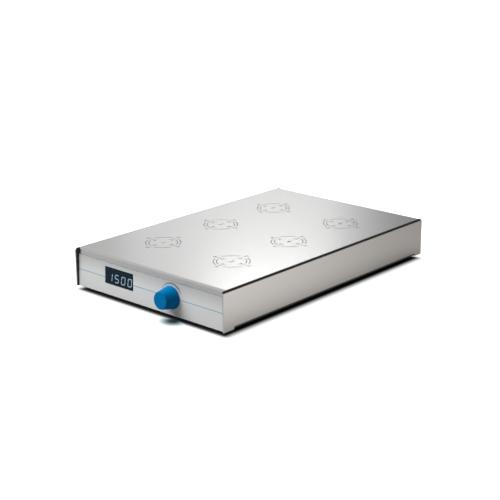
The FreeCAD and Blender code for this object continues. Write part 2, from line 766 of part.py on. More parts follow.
def spool(bore, radius, drum_top, top):
    """The half profile of a belt drum between two flanges, deep enough to clear the belts' inside."""
    drum = f"({radius} - belt_sink - belt_thickness - belt_gap)"
    foot = "(rotor_lift + rotor_flange)"
    return [(bore, "rotor_lift"), (radius, "rotor_lift"), (radius, foot), (drum, foot), (drum, drum_top),
            (radius, drum_top), (radius, top), (bore, top)]


def make_stations():
    """Six rotors, each a belt drum with two magnets in its top, turning on a bush over a fixed axle."""
    profile = spool("bush_radius", "rotor_radius", DRUM_TOP, ROTOR_TOP)
    bush = ring("axle_radius + running_gap", "bush_radius", "axle_flange_thickness", ROTOR_TOP)
    clip_level = f"({ROTOR_TOP} + clip_gap)"
    clip_top = f"({clip_level} + clip_thickness)"
    clip = ring("axle_radius", "clip_radius", clip_level, clip_top)
    axle_end = f"{clip_top} + axle_proud"
    axle = [
        ("0", "-plate_thickness"), ("axle_radius", "-plate_thickness"), ("axle_radius", "0"),
        ("axle_flange_radius", "0"), ("axle_flange_radius", "axle_flange_thickness"),
        ("axle_radius", "axle_flange_thickness"), ("axle_radius", axle_end), ("0", axle_end),
    ]
    axles = []
    clips = []
    for name in STATIONS:
        place = station(name, PLATE_TOP)
        rotor = turned(f"rotor_{name}", profile, place)
        pockets = new_sketch(rotor, frame=at("0", "0", ROTOR_TOP))
        for side in (-1, 1):
            circle(pockets, f"{side} * {MAGNET_X}", "0", "magnet_radius + running_gap")
        add_feature(rotor, "Pocket", pockets, "magnet_thickness")
        keep(rotor)
        keep(turned(f"bush_{name}", bush, place))
        x, y, *_ = place
        magnets = []
        for side in (-1, 1):
            seat = at(f"{x} + {side} * {MAGNET_X}", y, f"{PLATE_TOP} + {ROTOR_TOP} - magnet_thickness")
            magnets.append(turned("magnet", ring("0", "magnet_radius", "0", "magnet_thickness"), seat))
        keep_group(f"magnets_{name}", magnets)
        axles.append(turned("axle_pin", axle, place))
        clips.append(turned("retaining_clip", clip, place))
    keep_group("axle_pins", axles)
    keep_group("retaining_clips", clips)


def make_motor():
    """A flat motor hung under the plate, with a drum for two belts on its shaft."""
    place = at("0", "station_offset", PLATE_TOP)
    bore = "motor_shaft_radius + running_gap"
    low = f"-(plate_thickness + {MOTOR_LENGTH})"
    housing = [
        (bore, "0"), ("motor_boss_radius", "0"), ("motor_boss_radius", "-plate_thickness"),
        ("motor_radius", "-plate_thickness"), ("motor_radius", f"{low} + motor_step"),
        ("motor_radius - motor_step", low), ("0", low), ("0", f"-{SHAFT_DEPTH}"), (bore, f"-{SHAFT_DEPTH}"),
    ]
    body = turned("motor_housing", housing, place)
    holes = new_sketch(body, frame=at("0", "0", "-plate_thickness"))
    for x, y in motor_screw_places():
        circle(holes, x, y, HOLE)
    add_feature(body, "Pocket", holes, "screw_grip")
    keep(body)
    shaft = ring("0", "motor_shaft_radius", f"running_gap - {SHAFT_DEPTH}", PULLEY_TOP)
    keep(turned("motor_shaft", shaft, place))
    pulley = spool("motor_shaft_radius", "motor_pulley_radius", f"({PULLEY_TOP} - rotor_flange)", PULLEY_TOP)
    keep(turned("motor_pulley", pulley, place))
    screw = screw_profile("motor_screw_head_height", "screw_grip")
    members = []
    for x, y in motor_screw_places():
        place = (x, f"station_offset + {y}", PLATE_TOP, (1, 0, 0), "180")
        members.append(turned("motor_screw", screw, place))
    keep_group("motor_screws", members)


def loop_prism(start, start_radius, end, end_radius, height):
    """A flat slab inside a taut loop about two circles: their outer tangents and an arc about each."""
    reach = end - start
    forward = V(reach).normalize()
    side = V(0, 0, 1).cross(forward)
    slope = (start_radius - end_radius) / reach.Length
    normals = [forward * slope + side * sign * math.sqrt(1 - slope ** 2) for sign in (1, -1)]
    near = [start + normal * start_radius for normal in normals]
    far = [end + normal * end_radius for normal in normals]
    path = Part.Wire([
        Part.makeLine(near[0], far[0]),
        Part.Arc(far[0], end + forward * end_radius, far[1]).toShape(),
        Part.makeLine(far[1], near[1]),
        Part.Arc(near[1], start - forward * start_radius, near[0]).toShape(),
    ])
    return Part.Face(path).extrude(V(0, 0, height))


def make_belts():
    """Flat belts from the motor to the middle rotors, and from those to the front and back ones.

    Each belt runs at its own level, so that the two or three on one drum lie side by side.
    """
    drives = [
        ("motor_left", None, "middle_left", 0),
        ("motor_right", None, "middle_right", 1),
        ("front_left", "middle_left", "front_left", 1),
        ("back_left", "middle_left", "back_left", 2),
        ("front_right", "middle_right", "front_right", 0),
        ("back_right", "middle_right", "back_right", 2),
    ]
    half = size("belt_thickness / 2")
    width = size("belt_width")
    for name, driver, driven, track in drives:
        level = f"{PLATE_TOP} + {BELT_BASE} + {track} * belt_pitch - belt_width / 2"
        first = station(driver, level) if driver else at("0", "station_offset", level)
        start, end = (V(*(size(text) for text in place[:3])) for place in (first, station(driven, level)))
        near = size(ROTOR_RUN if driver else MOTOR_RUN)
        far = size(ROTOR_RUN)
        belt = doc.addObject("Part::Feature", f"belt_{name}")
        outer = loop_prism(start, near + half, end, far + half, width)
        belt.Shape = outer.cut(loop_prism(start, near - half, end, far - half, width))
        keep(belt)


def make_power_board():
    """The power board at the back of the tray, its tall components, and the spacers of both boards."""
    keep(block("power_board", f"2 * {BOARD_RIGHT}", "power_board_depth", "board_thickness",
               at("0", BOARD_Y, f"{FLOOR} + power_board_lift")))
    edge = f"({BOARD_RIGHT} - transformer_margin)"
    transformer = block("transformer", "transformer_width", "transformer_depth", "transformer_height",
                        at(f"{edge} - transformer_width / 2", BOARD_Y, BOARD_TOP))
    can = ring("0", "capacitor_radius", "0", "capacitor_height")
    row = f"({edge} - transformer_width - assembly_gap - capacitor_radius)"
    components = [transformer]
    for k in range(2):
        place = at(f"{row} - {k} * (2 * capacitor_radius + assembly_gap)", BOARD_Y, BOARD_TOP)
        components.append(turned("capacitor", can, place))
    keep_group("board_components", components)

    low = ring("0", "spacer_radius", "0", "power_board_lift")
    deep = ring("0", "spacer_radius", f"-{DISPLAY_BACK}", "-sheet_thickness")
    spacers = []
    inset_x = f"{BOARD_RIGHT} - spacer_inset"
    inset_y = "power_board_depth / 2 - spacer_inset"
    for x, y, *_ in corner_places(inset_x, inset_y, "0"):
        spacers.append(turned("power_board_spacer", low, at(x, f"{BOARD_Y} + {y}", FLOOR)))
    inset_x = f"{DISPLAY_BOARD_WIDTH} / 2 - spacer_inset"
    inset_y = f"{DISPLAY_BOARD_HEIGHT} / 2 - spacer_inset"
    for x, up, *_ in corner_places(inset_x, inset_y, "0"):
        place = on_front(f"window_x + {x}", f"{WINDOW_LEVEL} + {up}")
        spacers.append(turned("display_board_spacer", deep, place))
    keep_group("board_spacers", spacers)


def lead(points):
    """A round lead of straight runs with a round bend at each corner between them."""
    points = [V(*(size(text) for text in point)) for point in points]
    bend = size("lead_bend")
    edges = []
    last = points[0]
    for before, corner, after in zip(points, points[1:], points[2:]):
        inward = (before - corner).normalize()
        onward = (after - corner).normalize()
        half_turn = (math.pi - inward.getAngle(onward)) / 2
        start = corner + inward * bend * math.tan(half_turn)
        end = corner + onward * bend * math.tan(half_turn)
        middle = corner + (inward + onward).normalize() * bend * (1 / math.cos(half_turn) - 1)
        edges.append(Part.makeLine(last, start))
        edges.append(Part.Arc(start, middle, end).toShape())
        last = end
    edges.append(Part.makeLine(last, points[-1]))
    section = Part.Wire([Part.makeCircle(size("lead_radius"), points[0], points[1] - points[0])])
    return Part.Wire(edges).makePipe(Part.Face(section))


def make_wiring():
    """Leads to the power board from the inlet's pins, the motor, the display board and the speed control."""
    tails = f"({COVER_REAR} - inlet_body_depth - pin_tail)"
    mains = f"(foot_height + {REAR_LEVEL})"
    leads = []
    for x, z in (("-pin_pitch / 2", f"{mains} - pin_drop"), ("pin_pitch / 2", f"{mains} - pin_drop"),
                 ("0", f"{mains} + pin_drop")):
        x = f"{x} - {INLET_X}"
        turn = f"{tails} - lead_row"
        leads.append(lead([(x, tails, z), (x, turn, z), (x, turn, BOARD_TOP)]))
    landing = f"({BOARD_Y} - power_board_depth / 2 + lead_row)"
    edge = "(motor_radius / 2 - lead_radius)"
    motor_side = f"station_offset + sqrt(motor_radius * motor_radius - {edge} * {edge}) + lead_end_gap"
    rise = f"({LEAD_LEVEL} - foot_height) * tan({TILT})"
    board_back = f"{COVER_FRONT} + ({DISPLAY_BACK} + board_thickness) / cos({TILT}) + {rise} + lead_end_gap"
    control_back = f"{COVER_FRONT} + (sheet_thickness + control_depth) / cos({TILT}) + {rise} + lead_end_gap"
    for x, end in (("motor_radius / 2", motor_side), ("lead_aisle_x", board_back), ("knob_x", control_back)):
        leads.append(lead([(x, landing, BOARD_TOP), (x, landing, LEAD_LEVEL), (x, end, LEAD_LEVEL)]))
    wiring = doc.addObject("Part::Feature", "wiring")
    wiring.Shape = Part.makeCompound(leads)
    keep(wiring)


make_cover()
make_side("left", -1)
make_side("right", 1)
make_tray()
make_feet()
make_display()
make_control()
make_inlet()
make_switch()
make_plate()
make_stations()
make_motor()
make_belts()
make_power_board()
make_wiring()
doc.recompute()

for item in doc.Objects:
    if "Invalid" in item.State or "Error" in item.State:
        raise RuntimeError(f"{item.Label} failed: {item.State}")
for node in nodes:
    if node.Shape.isNull() or not node.Shape.isValid():
        raise RuntimeError(f"{node.Label} has no valid shape")

os.makedirs("parts", exist_ok=True)
for node in nodes:
    node.Shape.exportStep(f"parts/{node.Label}.step")
    print(node.Label, len(node.Shape.Solids), round(node.Shape.Volume, 1))
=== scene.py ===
"""The looks of a six-position magnetic stirrer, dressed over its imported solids.

Metres. The origin is on the bench under the middle of the case. X is right, Y is back, Z is up.
"""

import json
import math

import bpy
import numpy as np
from mathutils import Matrix, Vector


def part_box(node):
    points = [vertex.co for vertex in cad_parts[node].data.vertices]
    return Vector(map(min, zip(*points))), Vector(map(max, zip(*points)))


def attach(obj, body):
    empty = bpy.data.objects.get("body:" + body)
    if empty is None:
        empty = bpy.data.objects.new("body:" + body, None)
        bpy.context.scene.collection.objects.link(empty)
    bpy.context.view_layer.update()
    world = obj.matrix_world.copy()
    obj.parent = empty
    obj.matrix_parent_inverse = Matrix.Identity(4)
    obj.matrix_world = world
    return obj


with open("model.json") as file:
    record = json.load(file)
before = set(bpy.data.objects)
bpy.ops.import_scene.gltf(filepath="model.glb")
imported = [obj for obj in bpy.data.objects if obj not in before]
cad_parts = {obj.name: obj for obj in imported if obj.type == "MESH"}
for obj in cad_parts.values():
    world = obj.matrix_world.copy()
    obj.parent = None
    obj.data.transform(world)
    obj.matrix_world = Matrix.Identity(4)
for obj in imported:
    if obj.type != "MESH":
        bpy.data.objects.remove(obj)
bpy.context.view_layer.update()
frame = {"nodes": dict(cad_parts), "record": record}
nodes = frame["nodes"]
MM = 0.001

# Ink lies this high on what it is printed on, and as deep in it. Points closer than a seam are joined.
INK = 0.04 * MM
SEAM = 0.001 * MM

# The marks on the top, one about each station's axis. The rings have a gap on each side of each tick.
RING_OUTER = 19.4 * MM
RING_INNER = 15.9 * MM
RING_LINE = 0.75 * MM
RING_GAP = math.radians(15)
TICK_START = 12.2 * MM
TICK_END = 24.4 * MM
TICK_FOOT = 5 * MM
TICK_LINE = 0.6 * MM
NUMBER_HEIGHT = 6.4 * MM
FIGURE_SHARE = 0.7  # a figure's height, as a share of the font's size
STATION_NUMBERS = {
    "front_left": "1",
    "front_right": "2",
    "middle_left": "3",
    "middle_right": "4",
    "back_left": "5",
    "back_right": "6",
}

# The front label and its print. Heights are up the sheet, from the case's lower edge.
FRONT_TILT = math.radians(2.4)
WINDOW_LIP = 2.5 * MM  # the rim of the window that the label covers
LINE_LEVEL = 19.1 * MM
LINE_WIDTH = 0.65 * MM
NUT_CLEAR = 1 * MM
SCALE_RADIUS = 15 * MM
SCALE_START = math.radians(150)
SCALE_END = math.radians(24)
SCALE_THIN = 0.25 * MM
SCALE_THICK = 1.6 * MM
SCALE_SWELL = 0.75  # the share of its length over which the scale widens
SCALE_TAPER = 0.2  # the share over which it narrows again

# The display's digits, each of seven bars: a to f clockwise from the top, then g across the middle.
READING = "1500"
LIT_BARS = {"0": "abcdef", "1": "bc", "5": "acdfg"}
DIGIT_HEIGHT = 8.3 * MM
DIGIT_WIDTH = 5.3 * MM
DIGIT_PITCH = 10 * MM
DIGIT_STROKE = 1.05 * MM
DIGIT_GAP = 0.12 * DIGIT_STROKE  # left free at each end of a bar
DIGIT_SLANT = math.tan(math.radians(8))
DIGIT_LOW = 3.9 * MM
DIGIT_RIGHT = 3.3 * MM
WINDOW_SINK = 0.1 * MM  # how far the window lies behind the label's face
POINT_STEPS = 25

# The rear: the rocker's marks, and the painted shade of the cross recesses in the inlet's screws.
MARK_SIZE = 3 * MM
MARK_LINE = 0.45 * MM
CROSS_REACH = 1.3 * MM
CROSS_LINE = 0.6 * MM
REAR_FACING = 0.9  # the least share of a rear face's normal that points back

# What the finishes share.
LINE_LIFT = 0.2  # how far brushed metal leans to its light tone
LINE_STRENGTH = 0.05
LINE_DEPTH = 0.05 * MM
METAL_WEAR = 0.12
GRAIN_STRENGTH = 0.3
SKIN_WEAR = 0.4
SMUDGE_STRONG = (0.4, 0.8)  # where in the cloud a smudge starts and is full
INK_GRAIN = 3.0
INK_DEPTH = 0.005 * MM
DARK_BAR = (0.01, 0.015, 0.02, 1)

# The view of the photograph.
VIEW_AZIMUTH = math.radians(41.652)
VIEW_ELEVATION = math.radians(18.469)
VIEW_ROLL = math.radians(-0.2524)
VIEW_DISTANCE = 1.3952
VIEW_LENS = 88.4
VIEW_SENSOR = 36
VIEW_SHIFT = (-0.00993, 0.0374)

# The world's light: a soft fill, and the backdrop that the metal mirrors. Each has its least and greatest
# level, the way that it comes from, and the two dot products with that way between which its level changes.
FILL = (0.0, 0.33)
FILL_WAY = (-0.7, -0.35, 0.62)
FILL_TURN = (-0.2, 0.9)
BACKDROP = (0.8, 1.0)
BACKDROP_WAY = (-0.66, 0.75, -0.1)
BACKDROP_TURN = (-0.1, 0.75)

# The floor, with painted shadow: dark against the case and pale further out, and under the knob a painted
# shadow tinted by a painted reflection of the knob. Each pair of distances is where a change starts and
# ends:
# from the case's edge, from the middle of the knob's painted shadow, or from the spot of painted light.
FLOOR_SIZE = 12
FLOOR_TONE = (0.36, 0.36, 0.36)
FLOOR_SHADE = (0.08, 0.08, 0.08)
FLOOR_NEAR = (0.0, 0.05)
FLOOR_CLEAR = (0.0, 0.012)
SHADE_TIGHTER = 1.6  # how much sooner the shade ends at the front and back than at the sides
SHADE_INSET = 0.003
# The painted shadow under the knob, and the painted reflection of the blue knob that tints it.
KNOB_SHADE = (0.003, 0.021)
KNOB_SHADE_AT = (0.0037, 0.0066, 0)  # from the knob's middle
KNOB_PAINTED_REFLECTION = (0.7, 0.92, 1.0)
KNOB_PAINTED_SHADOW = (0.045, 0.062, 0.07)
# A spot of painted light on the floor that only the metal sees: its middle, where it fades in, and its
# strength.
PAINTED_LIGHT_SPOT = (0.42, -0.08, 0)
PAINTED_LIGHT_REACH = (0.5, 0.1)
PAINTED_LIGHT_SHARE = 0.66
WHITE = (1, 1, 1)

# Each card's two ends on the floor, its height, how bright it is in the metal at its first end and further
# on, and how far along it that changes.
FLAGS = {
    "flag_behind": ((-0.36, 0.6), (0.7, 0.6), 0.45, 1.0, 0.37, 0.14),
    "flag_left": ((-1.0, -0.4), (-1.0, 0.7), 0.9, 0.68, 0.68, 1.0),
}

# Each lamp's place, the point it faces, its width, height and power, and whether the metal mirrors it.
LAMPS = {
    "lamp_key": ((-0.7, -0.65, 1.3), (0, -0.1, 0), 1.7, 1.7, 58.5, False),
    "lamp_behind": ((-0.98, 1.16, 0.88), (0.1, -0.06, 0.05), 0.3, 0.25, 0.9, True),
}


def middle(node):
    """The middle of a node's box."""
    low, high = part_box(node)
    return (low + high) / 2


CASE_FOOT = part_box("cover")[0].z
UP_FRONT = Vector((0, math.sin(FRONT_TILT), math.cos(FRONT_TILT)))
OUT_FRONT = Vector((0, -math.cos(FRONT_TILT), math.sin(FRONT_TILT)))


def on_label():
    """The label's own frame: X to the right, Y up the sheet from the case's lower edge, Z out of it."""
    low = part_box("front_label")[0]
    origin = Vector((0, low.y, low.z)) - UP_FRONT * ((low.z - CASE_FOOT) / math.cos(FRONT_TILT))
    turn = Matrix((Vector((1, 0, 0)), UP_FRONT, OUT_FRONT)).transposed().to_4x4()
    return Matrix.Translation(origin) @ turn


def up_label(node):
    """How far up the label the middle of a node is."""
    return (middle(node).z - CASE_FOOT) / math.cos(FRONT_TILT)


def show(item):
    """Puts an object in the scene."""
    bpy.context.scene.collection.objects.link(item)
    return item


# Surfaces.

def sheet(across, along, surface):
    """A grid of quads: surface(u, v) gives the points for u across and v along, each from 0 to 1."""
    u, v = np.meshgrid(np.linspace(0, 1, across), np.linspace(0, 1, along), indexing="ij")
    points = np.stack(np.broadcast_arrays(*surface(u, v)), axis=-1).reshape(-1, 3)
    index = np.arange(across * along).reshape(across, along)
    quads = np.stack([index[:-1, :-1], index[1:, :-1], index[1:, 1:], index[:-1, 1:]], axis=-1)
    return points, quads.reshape(-1, 4)


def arc(radius, width, start, end, steps=24):
    """A flat band about the origin: u goes across it, v round it. The width may be a function of v."""
    def surface(u, v):
        wide = width(v) if callable(width) else width
        r = radius + (u - 0.5) * wide
        angle = start + (end - start) * v
        return r * np.cos(angle), r * np.sin(angle), INK + 0 * u
    return sheet(2, steps, surface)


def bar(start, end, width, pointed=False):
    """A flat bar from one point to another: u goes along it, v across.

    A pointed bar is nowhere wider than twice the way to its nearer end.
    """
    start, end = np.array(start), np.array(end)
    length = np.linalg.norm(end - start)
    ahead = (end - start) / length

    def surface(u, v):
        along = u * length
        half = np.minimum(width / 2, np.minimum(along, length - along)) if pointed else width / 2
        across = (2 * v - 1) * half
        x = start[0] + ahead[0] * along - ahead[1] * across
        y = start[1] + ahead[1] * along + ahead[0] * across
        return x, y, INK + 0 * u
    return sheet(POINT_STEPS if pointed else 2, 2, surface)


def mesh_of(name, sheets, place):
    """One mesh of several grids, moved to its place."""
    starts = np.cumsum([0] + [len(points) for points, _ in sheets[:-1]])
    points = np.concatenate([points for points, _ in sheets])
    quads = np.concatenate([quads + start for start, (_, quads) in zip(starts, sheets)])
    place = np.array(place)
    mesh = bpy.data.meshes.new(name)
    mesh.from_pydata((points @ place[:3, :3].T + place[:3, 3]).tolist(), [], quads.tolist())
    mesh.update()
    return mesh


def add_piece(name, mesh, material, body):
    """Puts a finished mesh in the scene as a piece that rides on a body."""
    piece = show(bpy.data.objects.new(name, mesh))
    mesh.materials.clear()
    mesh.materials.append(material)
    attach(piece, body)
    return piece


def printed(name, sheets, place, ink, body):
    """Printed ink: flat grids with the film's thickness, down into what they lie on."""
    piece = add_piece(name, mesh_of(name, sheets, place), ink, body)
    seam = piece.modifiers.new("seam", "WELD")
    seam.merge_threshold = SEAM
    film = piece.modifiers.new("film", "SOLIDIFY")
    film.thickness = 2 * INK
    film.offset = -1


def lettering(name, text, height, place, ink, body):
    """Printed figures, centred on the place's origin."""
    font = bpy.data.curves.new(name, "FONT")
    font.body = text
    font.size = height / FIGURE_SHARE
    font.align_x = "CENTER"
    font.align_y = "CENTER"
    font.extrude = INK
    source = show(bpy.data.objects.new(name + "_source", font))
    bpy.context.view_layer.update()
    mesh = bpy.data.meshes.new_from_object(source.evaluated_get(bpy.context.evaluated_depsgraph_get()))
    bpy.data.objects.remove(source)
    bpy.data.curves.remove(font)
    mesh.name = name
    mesh.transform(place)
    add_piece(name, mesh, ink, body)


# Nodes.

def add_node(tree, kind, inputs=(), **settings):
    """A node with its settings, and its inputs by name or number: each a value or a socket to link."""
    node = tree.nodes.new(kind)
    for name, value in settings.items():
        setattr(node, name, value)
    for key, value in dict(inputs).items():
        if isinstance(value, bpy.types.NodeSocket):
            tree.links.new(value, node.inputs[key])
        else:
            node.inputs[key].default_value = value
    return node


def work_out(tree, operation, *values):
    """The result of a sum on numbers."""
    return add_node(tree, "ShaderNodeMath", enumerate(values), operation=operation).outputs[0]


def work_out_vector(tree, operation, *values):
    """The result of a sum on vectors: a number for a length, a distance or a dot product."""
    node = add_node(tree, "ShaderNodeVectorMath", enumerate(values), operation=operation)
    return node.outputs["Value" if operation in ("LENGTH", "DISTANCE", "DOT_PRODUCT") else "Vector"]


def ramp(tree, value, ends, low=0.0, high=1.0, smooth=False):
    """A number that goes from low to high as a value goes from one end to the other, and no further."""
    limits = {"Value": value, "From Min": ends[0], "From Max": ends[1], "To Min": low, "To Max": high}
    kind = "SMOOTHSTEP" if smooth else "LINEAR"
    return add_node(tree, "ShaderNodeMapRange", limits, interpolation_type=kind).outputs[0]


def between(tree, share, first, second):
    """A number between two others."""
    return add_node(tree, "ShaderNodeMix", {0: share, 2: first, 3: second}).outputs[0]


def blend(tree, share, first, second):
    """A colour between two others, each written out or a socket to link."""
    ends = [end if isinstance(end, bpy.types.NodeSocket) else (*end, 1) for end in (first, second)]
    return add_node(tree, "ShaderNodeMix", {0: share, 6: ends[0], 7: ends[1]}, data_type="RGBA").outputs[2]


def new_group(name, inputs, outputs):
    """An empty node group with named sockets."""
    group = bpy.data.node_groups.new(name, "ShaderNodeTree")
    for label, kind in inputs.items():
        group.interface.new_socket(label, in_out="INPUT", socket_type=kind)
    for label in outputs:
        group.interface.new_socket(label, in_out="OUTPUT", socket_type="NodeSocketFloat")
    return group, group.nodes.new("NodeGroupInput").outputs, group.nodes.new("NodeGroupOutput").inputs


def make_brush_group():
    """Brushed lines: a fine and a broad noise, of a place that is already drawn out along the brush."""
    group, given, result = new_group("brushed lines", {"Place": "NodeSocketVector"}, ["Line", "Band"])
    fine = add_node(group, "ShaderNodeTexNoise",
                    {"Vector": given["Place"], "Scale": 3.0, "Detail": 4.0, "Roughness": 0.7})
    broad = add_node(group, "ShaderNodeTexNoise", {"Vector": given["Place"], "Scale": 0.22, "Detail": 2.0})
    group.links.new(fine.outputs[0], result["Line"])
    group.links.new(broad.outputs[0], result["Band"])
    return group


def make_skin_group():
    """A moulded or coated skin: small cells for its grain, and a slow cloud for its mottle."""
    group, given, result = new_group(
        "moulded skin", {"Place": "NodeSocketVector", "Grain": "NodeSocketFloat"}, ["Height", "Mottle"])
    cells = add_node(group, "ShaderNodeTexVoronoi", {"Vector": given["Place"], "Scale": given["Grain"]})
    cloud = add_node(group, "ShaderNodeTexNoise", {"Vector": given["Place"], "Scale": 0.35, "Detail": 5.0})
    group.links.new(cells.outputs[0], result["Height"])
    group.links.new(cloud.outputs[0], result["Mottle"])
    return group


def make_handling_group():
    """Marks of handling: wide soft clouds with a finer break-up, kept to where they are strong."""
    group, given, result = new_group("handling", {"Place": "NodeSocketVector"}, ["Smudge"])
    cloud = add_node(group, "ShaderNodeTexNoise",
                     {"Vector": given["Place"], "Scale": 0.03, "Detail": 6.0, "Distortion": 0.6})
    group.links.new(ramp(group, cloud.outputs[0], SMUDGE_STRONG, smooth=True), result["Smudge"])
    return group


BRUSH = make_brush_group()
SKIN = make_skin_group()
HANDLING = make_handling_group()


# Materials. Every pattern is measured in millimetres, from the object's own coordinates.

def new_finish(name, stretch=(1, 1, 1), **fixed):
    """A material with its shader, and the object's coordinates in millimetres, plain and stretched."""
    material = bpy.data.materials.new(name)
    material.use_nodes = True
    tree = material.node_tree
    shader = tree.nodes["Principled BSDF"]
    for label, value in fixed.items():
        shader.inputs[label.replace("_", " ")].default_value = value
    where = add_node(tree, "ShaderNodeTexCoord").outputs["Object"]
    scales = [[part / MM for part in parts] for parts in ((1, 1, 1), stretch)]
    plain, drawn = (add_node(tree, "ShaderNodeMapping", {"Vector": where, "Scale": scale}).outputs[0]
                    for scale in scales)
    return material, tree, shader, plain, drawn


def use_group(tree, group, **inputs):
    """A node group placed in a material, with a value or a socket to link for each of its inputs."""
    return add_node(tree, "ShaderNodeGroup", inputs, node_tree=group).outputs


def emboss(tree, shader, height, strength, depth):
    """Sets a height into the shader's normal."""
    bump = add_node(tree, "ShaderNodeBump", {"Height": height, "Strength": strength, "Distance": depth})
    tree.links.new(bump.outputs[0], shader.inputs["Normal"])


def brushed_metal(name, dark, light, rough, stretch):
    """Brushed or turned metal: lines along the brush in its colour, its roughness and its surface."""
    material, tree, shader, plain, drawn = new_finish(name, stretch, Metallic=1.0)
    lines = use_group(tree, BRUSH, Place=drawn)
    marks = use_group(tree, HANDLING, Place=plain)
    share = work_out(tree, "MULTIPLY_ADD", lines["Line"], lines["Band"], LINE_LIFT)
    tree.links.new(blend(tree, share, dark, light), shader.inputs["Base Color"])
    wear = work_out(tree, "MULTIPLY_ADD", marks["Smudge"], METAL_WEAR, lines["Line"])
    tree.links.new(ramp(tree, wear, (0, 1), *rough), shader.inputs["Roughness"])
    emboss(tree, shader, lines["Line"], LINE_STRENGTH, LINE_DEPTH)
    return material


def moulded(name, dark, light, rough, grain, depth, painted_top_shades=(), **fixed):
    """Plastic, rubber or paint: a grain in its surface, and a mottle in its colour and roughness.

    Each painted top shade is a darker colour that it reaches between two heights, in millimetres: painted
    shade.
    """
    material, tree, shader, plain, _ = new_finish(name, **fixed)
    skin = use_group(tree, SKIN, Place=plain, Grain=grain)
    marks = use_group(tree, HANDLING, Place=plain)
    colour = blend(tree, skin["Mottle"], dark, light)
    # Painted shade: the colour darkens with height towards each top shade's colour.
    for heights, tone in painted_top_shades:
        height = add_node(tree, "ShaderNodeSeparateXYZ", {0: plain}).outputs[2]
        colour = blend(tree, ramp(tree, height, heights), colour, tone)
    tree.links.new(colour, shader.inputs["Base Color"])
    wear = work_out(tree, "MULTIPLY_ADD", marks["Smudge"], SKIN_WEAR, skin["Mottle"])
    tree.links.new(ramp(tree, wear, (0, 1), *rough), shader.inputs["Roughness"])
    emboss(tree, shader, skin["Height"], GRAIN_STRENGTH, depth)
    return material


def flat_ink(name, dark, light, rough):
    """Printed ink: the same thin grain on every print."""
    return moulded(name, dark, light, rough, INK_GRAIN, INK_DEPTH)


def glowing(name, dark, light):
    """The display's lit bars: a glow that is a little uneven from bar to bar."""
    material, tree, shader, plain, _ = new_finish(
        name, Base_Color=DARK_BAR, Emission_Strength=1.0, Roughness=0.4)
    skin = use_group(tree, SKIN, Place=plain, Grain=1.0)
    tree.links.new(blend(tree, skin["Mottle"], dark, light), shader.inputs["Emission Color"])
    return material


# Painted shade on the label: it darkens towards its top, and its cut edge there is painted darker still.
LABEL_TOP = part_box("front_label")[1].z / MM
LABEL_PAINTED_SHADES = [
    ((27, 44), (0.36, 0.363, 0.363)),
    ((LABEL_TOP - 0.05, LABEL_TOP - 0.02), (0.16, 0.16, 0.16)),
]

# Each has its dark and light tones and its two roughnesses. Metal then has how its lines are drawn out, and
# the rest the number of grains to a millimetre and their depth.
FINISHES = {
    "stainless_sheet": brushed_metal(
        "cover steel", (0.54, 0.54, 0.535), (0.58, 0.58, 0.575), (0.22, 0.29), (0.02, 2, 2)),
    "label_grey": moulded(
        "label film", (0.54, 0.545, 0.545), (0.57, 0.575, 0.575), (0.5, 0.65), 5.0, 0.01 * MM,
        LABEL_PAINTED_SHADES, Specular_IOR_Level=0.2),
    "window_dark": moulded(
        "window acrylic", (0.0035, 0.012, 0.022), (0.005, 0.015, 0.027), (0.08, 0.2), 0.5, 0.002 * MM,
        Specular_IOR_Level=0.08),
    "knob_blue": moulded(
        "knob blue", (0.0003, 0.125, 0.315), (0.0005, 0.138, 0.342), (0.36, 0.5), 6.0, 0.01 * MM,
        Specular_IOR_Level=0.02),
    "black_rubber": moulded(
        "black rubber", (0.018, 0.017, 0.016), (0.03, 0.028, 0.026), (0.6, 0.85), 3.0, 0.02 * MM),
    "tray_grey": moulded(
        "tray paint", (0.17, 0.175, 0.165), (0.21, 0.215, 0.205), (0.45, 0.65), 1.5, 0.02 * MM),
    "plated_steel": brushed_metal(
        "plated steel", (0.58, 0.58, 0.57), (0.7, 0.7, 0.68), (0.2, 0.36), (1, 1, 1)),
    "plain_aluminium": brushed_metal(
        "plain aluminium", (0.66, 0.66, 0.67), (0.76, 0.76, 0.77), (0.3, 0.5), (2, 0.05, 2)),
    "natural_nylon": moulded(
        "natural nylon", (0.72, 0.7, 0.61), (0.8, 0.78, 0.7), (0.4, 0.6), 2.0, 0.02 * MM),
    "bearing_bronze": brushed_metal(
        "bearing bronze", (0.5, 0.33, 0.15), (0.64, 0.45, 0.22), (0.25, 0.45), (1, 1, 0.1)),
    "magnet_nickel": brushed_metal(
        "magnet nickel", (0.62, 0.6, 0.57), (0.72, 0.7, 0.67), (0.1, 0.22), (1, 1, 1)),
    "motor_black": moulded(
        "motor black", (0.03, 0.03, 0.033), (0.045, 0.045, 0.05), (0.35, 0.5), 2.0, 0.02 * MM),
    "board_green": moulded(
        "board green", (0.012, 0.12, 0.05), (0.025, 0.2, 0.09), (0.3, 0.5), 0.6, 0.03 * MM),
    "black_plastic": moulded(
        "black plastic", (0.018, 0.018, 0.02), (0.03, 0.03, 0.033), (0.35, 0.55), 4.0, 0.02 * MM),
    "lead_insulation": moulded(
        "lead insulation", (0.2, 0.02, 0.02), (0.28, 0.035, 0.035), (0.4, 0.55), 2.0, 0.01 * MM),
}
SIDE_STEEL = brushed_metal(
    "side steel", (0.615, 0.585, 0.55), (0.655, 0.625, 0.59), (0.34, 0.42), (2, 0.02, 2))
RING_INK = flat_ink("ring ink", (0.04, 0.04, 0.04), (0.07, 0.068, 0.066), (0.5, 0.7))
NUMBER_INK = flat_ink("number ink", (0.13, 0.13, 0.13), (0.17, 0.168, 0.165), (0.5, 0.7))
LINE_INK = flat_ink("line ink", (0.05, 0.25, 0.37), (0.065, 0.29, 0.42), (0.45, 0.6))
